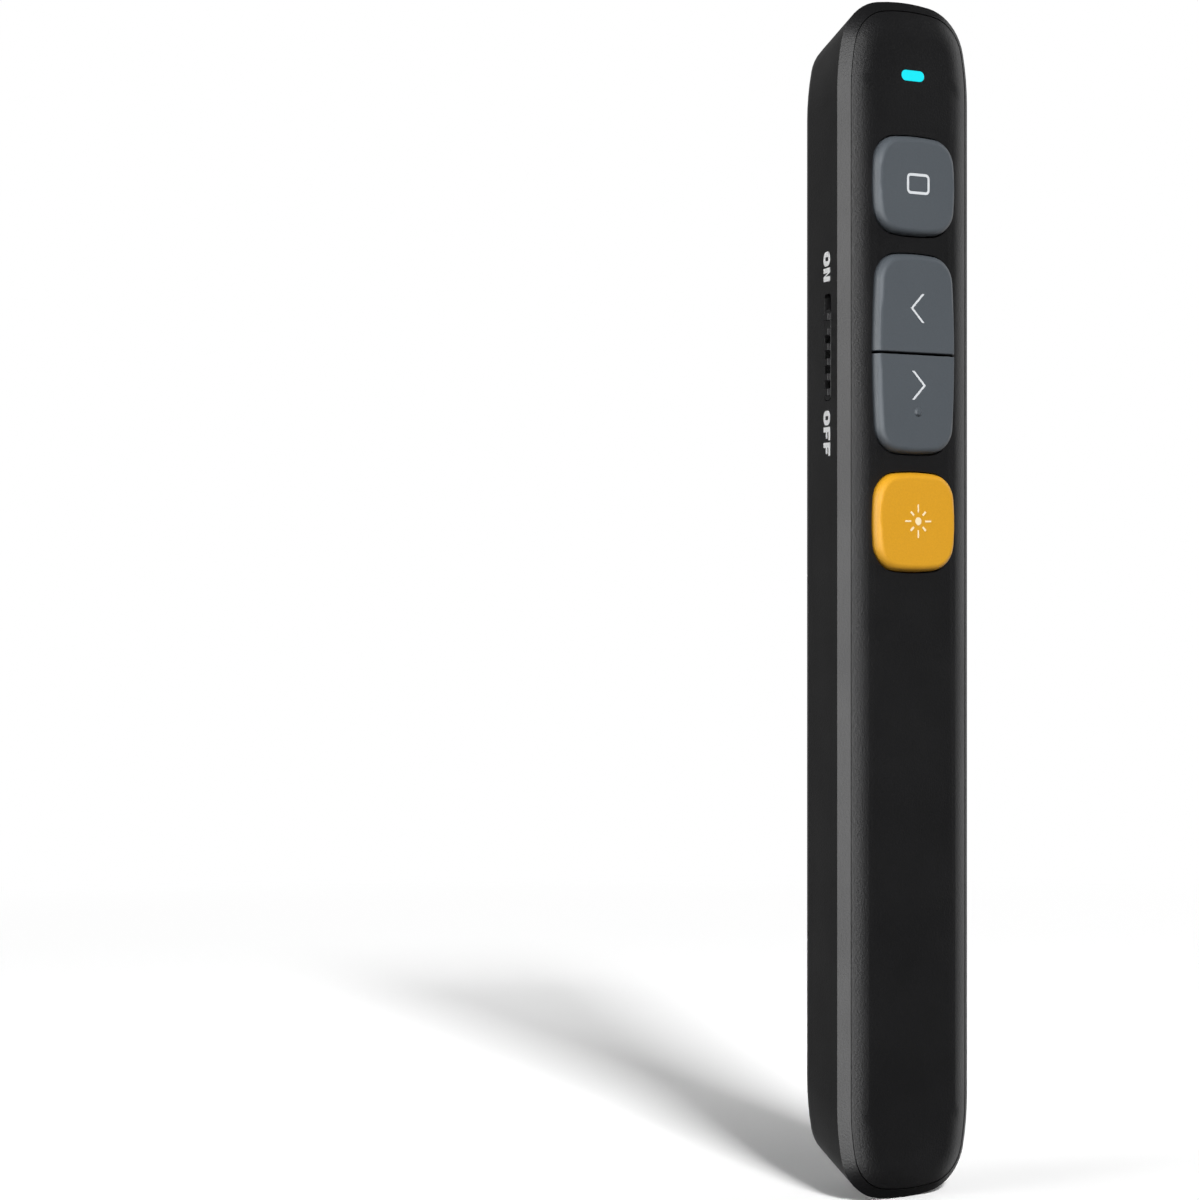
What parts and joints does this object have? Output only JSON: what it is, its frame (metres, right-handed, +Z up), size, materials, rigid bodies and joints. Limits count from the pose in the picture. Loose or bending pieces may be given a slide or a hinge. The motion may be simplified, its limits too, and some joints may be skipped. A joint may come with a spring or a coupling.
{
  "type": "wireless presentation clicker",
  "caption": "Slim hand-held wireless presentation clicker with page, blank-screen and laser keys, a volume rocker, a power slide, a battery door and a USB receiver stowed in its end.",
  "frame": {"origin": "bottom centre of the part's box, as it stands on its lower end", "axes": "+X across the body, to the right as seen from the key face; -Y out of the key face and +Y out of the back; +Z up the length, towards the laser end. It is stored upright, as pictured, though a real one left free lies on its back."},
  "size_m": [0.0202, 0.0156, 0.145],
  "materials": {
    "black_plastic": "satin",
    "print_ink": "pad-printed",
    "grey_plastic": "satin",
    "yellow_plastic": "satin",
    "cyan_lens": "translucent, lit",
    "clear_plastic": "clear",
    "brass": "turned",
    "plated_steel": "nickel-plated",
    "green_laminate": "solder mask",
    "component_black": "moulded",
    "white_plastic": "moulded",
    "cell_can": "nickel-plated can",
    "cell_label": "shrink sleeve",
    "gold_plated": "gold-plated"
  },
  "bodies": {
    "casing": {"rear_housing": "black_plastic", "front_cover": "black_plastic", "indicator_lens": "cyan_lens", "laser_window": "clear_plastic", "laser_barrel": "brass", "laser_lens": "clear_plastic", "laser_diode": "plated_steel", "main_board": "green_laminate", "board_screws": "plated_steel", "key_switches": "component_black", "volume_switches": "component_black", "power_switch": "plated_steel", "radio_chip": "component_black", "crystal": "plated_steel", "status_led": "white_plastic", "battery_cell": "cell_can", "battery_sleeve": "cell_label", "positive_contact": "plated_steel", "spring_plate": "plated_steel", "battery_spring": "plated_steel", "negative_strap": "plated_steel"},
    "blank_key": {"blank_screen_key": "grey_plastic", "blank_screen_plunger": "component_black"},
    "previous_page_key": {"previous_key": "grey_plastic", "previous_plunger": "component_black"},
    "next_page_key": {"next_key": "grey_plastic", "next_plunger": "component_black"},
    "laser_button": {"laser_key": "yellow_plastic", "laser_plunger": "component_black"},
    "volume_rocker": {"volume_key": "black_plastic", "volume_plungers": "component_black"},
    "power_slider": {"power_knob": "black_plastic", "power_switch_lever": "component_black"},
    "door": {"battery_door": "black_plastic"},
    "latch": {"door_latch": "black_plastic"},
    "receiver": {"receiver_cap": "black_plastic", "receiver_shell": "plated_steel", "receiver_tongue": "white_plastic", "receiver_contacts": "gold_plated"}
  },
  "joints": [
    {"name": "blank_key_press", "type": "slide", "parent": "casing", "child": "blank_key", "axis": [0, 1, 0], "range_m": [0, 0.0004], "stiffness_N_per_m": 1500, "springref_m": -0.0006},
    {"name": "previous_key_press", "type": "slide", "parent": "casing", "child": "previous_page_key", "axis": [0, 1, 0], "range_m": [0, 0.0004], "stiffness_N_per_m": 1500, "springref_m": -0.0006},
    {"name": "next_key_press", "type": "slide", "parent": "casing", "child": "next_page_key", "axis": [0, 1, 0], "range_m": [0, 0.0004], "stiffness_N_per_m": 1500, "springref_m": -0.0006},
    {"name": "laser_key_press", "type": "slide", "parent": "casing", "child": "laser_button", "axis": [0, 1, 0], "range_m": [0, 0.0004], "stiffness_N_per_m": 1500, "springref_m": -0.0006},
    {"name": "volume_rock", "type": "hinge", "parent": "casing", "child": "volume_rocker", "pos_m": [0.00688, -0.00214, 0.1034], "axis": [0.309, -0.9511, 0], "range_deg": [-1.5, 1.5], "stiffness_Nm_per_rad": 0.5},
    {"name": "power_slide", "type": "slide", "parent": "casing", "child": "power_slider", "axis": [0, 0, 1], "range_m": [0, 0.0018]},
    {"name": "door_swing", "type": "hinge", "parent": "casing", "child": "door", "pos_m": [0, 0.00777, 0.0272], "axis": [-1, 0, 0], "range_deg": [0, 40]},
    {"name": "latch_slide", "type": "slide", "parent": "door", "child": "latch", "axis": [0, 0, -1], "range_m": [0, 0.0008], "stiffness_N_per_m": 800, "springref_m": -0.0004},
    {"name": "receiver_pull", "type": "slide", "parent": "casing", "child": "receiver", "axis": [0, 0, -1], "range_m": [0, 0.024]}
  ]
}
